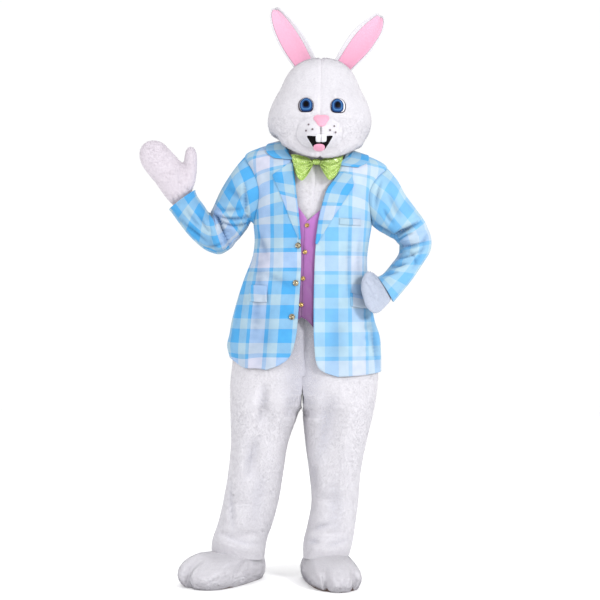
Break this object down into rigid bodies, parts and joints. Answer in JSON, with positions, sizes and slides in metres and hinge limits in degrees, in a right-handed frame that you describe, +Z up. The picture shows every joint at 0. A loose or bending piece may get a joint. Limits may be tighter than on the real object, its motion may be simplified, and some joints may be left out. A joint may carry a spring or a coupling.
{
  "type": "rabbit mascot costume",
  "caption": "Rabbit mascot costume in its worn, hollow shape: plush head and long ears, fur suit, plaid jacket, vest, bow tie, mitts and feet.",
  "frame": {"origin": "at the base of the neck, midway between the shoulders that carry the costume", "axes": "+Z up, the face of the costume toward -Y, so its own right side is toward -X"},
  "size_m": [1.046, 0.4498, 2.052],
  "materials": {
    "plaid_suiting": "woven plaid suiting, matte",
    "plaid_trim": "woven plaid suiting, matte",
    "orchid_satin": "soft satin",
    "white_plush": "short plush pile",
    "pink_plush": "short plush pile",
    "lime_sequin": "satin under small sequins",
    "gold_button": "polished",
    "dark_brass_button": "dark, satin",
    "nose_pink": "flocked",
    "mouth_black": "matte felt",
    "tooth_white": "satin",
    "eye_rim_dark": "gloss",
    "eye_white": "gloss",
    "eye_blue": "gloss",
    "sole_brown": "matte"
  },
  "bodies": {
    "root": {"jacket_front_right": "plaid_suiting", "jacket_front_left": "plaid_suiting", "jacket_back_right": "plaid_suiting", "jacket_back_left": "plaid_suiting", "sleeve_upper_right": "plaid_suiting", "sleeve_under_right": "plaid_suiting", "sleeve_upper_left": "plaid_suiting", "sleeve_under_left": "plaid_suiting", "lapel_right": "plaid_trim", "lapel_left": "plaid_trim", "collar": "plaid_trim", "breast_welt": "plaid_trim", "pocket_flap_right": "plaid_trim", "pocket_flap_left": "plaid_trim", "vest_right": "orchid_satin", "vest_left": "orchid_satin", "vest_back": "orchid_satin", "suit_front_right": "white_plush", "suit_back_right": "white_plush", "suit_front_left": "white_plush", "suit_back_left": "white_plush", "suit_sleeve_right": "white_plush", "suit_sleeve_left": "white_plush", "head_right": "white_plush", "head_left": "white_plush", "muzzle": "white_plush", "ear_right": "white_plush", "ear_left": "white_plush", "mitt_right": "white_plush", "mitt_left": "white_plush", "foot_right": "white_plush", "foot_left": "white_plush", "ear_lining_right": "pink_plush", "ear_lining_left": "pink_plush", "bow_right": "lime_sequin", "bow_left": "lime_sequin", "bow_knot": "lime_sequin", "vest_button_1": "gold_button", "vest_button_2": "gold_button", "vest_button_3": "gold_button", "vest_button_4": "gold_button", "jacket_button_1": "dark_brass_button", "jacket_button_2": "dark_brass_button", "jacket_button_3": "dark_brass_button", "nose": "nose_pink", "tongue": "nose_pink", "mouth": "mouth_black", "teeth": "tooth_white", "eye_rim_right": "eye_rim_dark", "eye_rim_left": "eye_rim_dark", "eye_white_right": "eye_white", "eye_white_left": "eye_white", "iris_right": "eye_blue", "iris_left": "eye_blue", "sole_right": "sole_brown", "sole_left": "sole_brown"}
  },
  "joints": []
}
